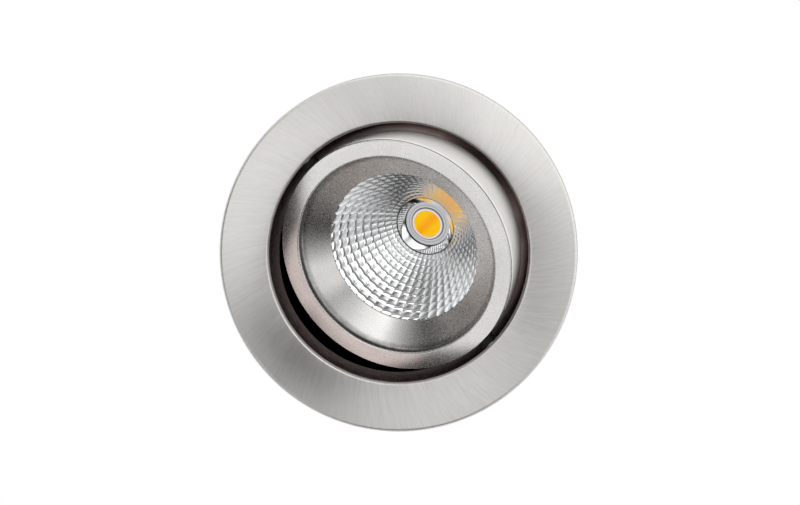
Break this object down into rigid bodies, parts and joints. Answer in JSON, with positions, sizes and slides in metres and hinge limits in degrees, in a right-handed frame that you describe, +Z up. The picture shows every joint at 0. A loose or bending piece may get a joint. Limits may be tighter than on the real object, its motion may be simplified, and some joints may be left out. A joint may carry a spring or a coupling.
{
  "type": "soffit downlight",
  "caption": "Round recessed downlight with a brushed flange, a swivelling and tilting spherical head, a faceted reflector and sprung clips.",
  "frame": {"origin": "centre of the cut-out, on the soffit face that the gasket seals against", "axes": "+Z up into the soffit along the light's own axis, light leaves towards -Z; the clips stand at +X and -X; at rest the head is tilted so that its beam leans towards -X and +Y"},
  "size_m": [0.084, 0.084, 0.0588],
  "materials": {
    "trim_metal": "casting, plated and brushed across the face",
    "soft_rubber": "soft, matt",
    "slip_plastic": "slippery, matt",
    "spring_steel": "drawn wire and spring strip",
    "screw_steel": "turned and plated",
    "sheet_steel": "pressed and zinc plated sheet",
    "rivet_aluminium": "headed",
    "dark_paint": "casting, painted dark brown-black",
    "black_plastic": "matt",
    "satin_metal": "turned and satin plated",
    "black_rubber": "matt",
    "mirror_metal": "pressed facets, mirror bright",
    "phosphor": "silicone with yellow-orange phosphor",
    "white_plastic": "moulded",
    "board_ceramic": "white ceramic",
    "pad_rubber": "soft grey pad",
    "sink_aluminium": "casting, grey"
  },
  "bodies": {
    "trim": {"trim_ring": "trim_metal", "ceiling_gasket": "soft_rubber", "slip_washer": "slip_plastic", "retaining_ring": "spring_steel", "stop_screw": "screw_steel", "clip_bracket_right": "sheet_steel", "clip_bracket_left": "sheet_steel", "clip_rivets": "rivet_aluminium", "clip_pin_right": "screw_steel", "clip_pin_left": "screw_steel", "clip_spring_right": "spring_steel", "clip_spring_left": "spring_steel"},
    "swivel": {"swivel_ring": "dark_paint"},
    "head": {"pivot_pins": "screw_steel", "friction_washers": "black_plastic", "head_shell": "satin_metal", "front_bezel": "satin_metal", "bezel_seal": "black_rubber", "reflector": "mirror_metal", "led_phosphor": "phosphor", "led_dam": "white_plastic", "led_board": "board_ceramic", "led_holder": "white_plastic", "holder_screws": "screw_steel", "thermal_pad": "pad_rubber", "heat_sink": "sink_aluminium", "heat_sink_screws": "screw_steel", "lead_gland": "black_rubber"},
    "clip_right": {"clip_arm_right": "sheet_steel", "clip_pad_right": "soft_rubber"},
    "clip_left": {"clip_arm_left": "sheet_steel", "clip_pad_left": "soft_rubber"}
  },
  "joints": [
    {"name": "swivel", "type": "hinge", "parent": "trim", "child": "swivel", "pos_m": [0, 0, 0], "axis": [0, 0, 1], "range_deg": [-175, 175]},
    {"name": "head_tilt", "type": "hinge", "parent": "swivel", "child": "head", "pos_m": [0, 0, 0.002], "axis": [0.7071, 0.7071, 0], "range_deg": [-59.5, 0.5]},
    {"name": "clip_right", "type": "hinge", "parent": "trim", "child": "clip_right", "pos_m": [0.0339, 0, 0.02], "axis": [0, -1, 0], "range_deg": [0, 160], "stiffness_Nm_per_rad": 0.05, "springref_deg": -57.3, "deforming": ["clip_spring_right"]},
    {"name": "clip_left", "type": "hinge", "parent": "trim", "child": "clip_left", "pos_m": [-0.0339, 0, 0.02], "axis": [0, 1, 0], "range_deg": [0, 160], "stiffness_Nm_per_rad": 0.05, "springref_deg": -57.3, "deforming": ["clip_spring_left"]}
  ]
}
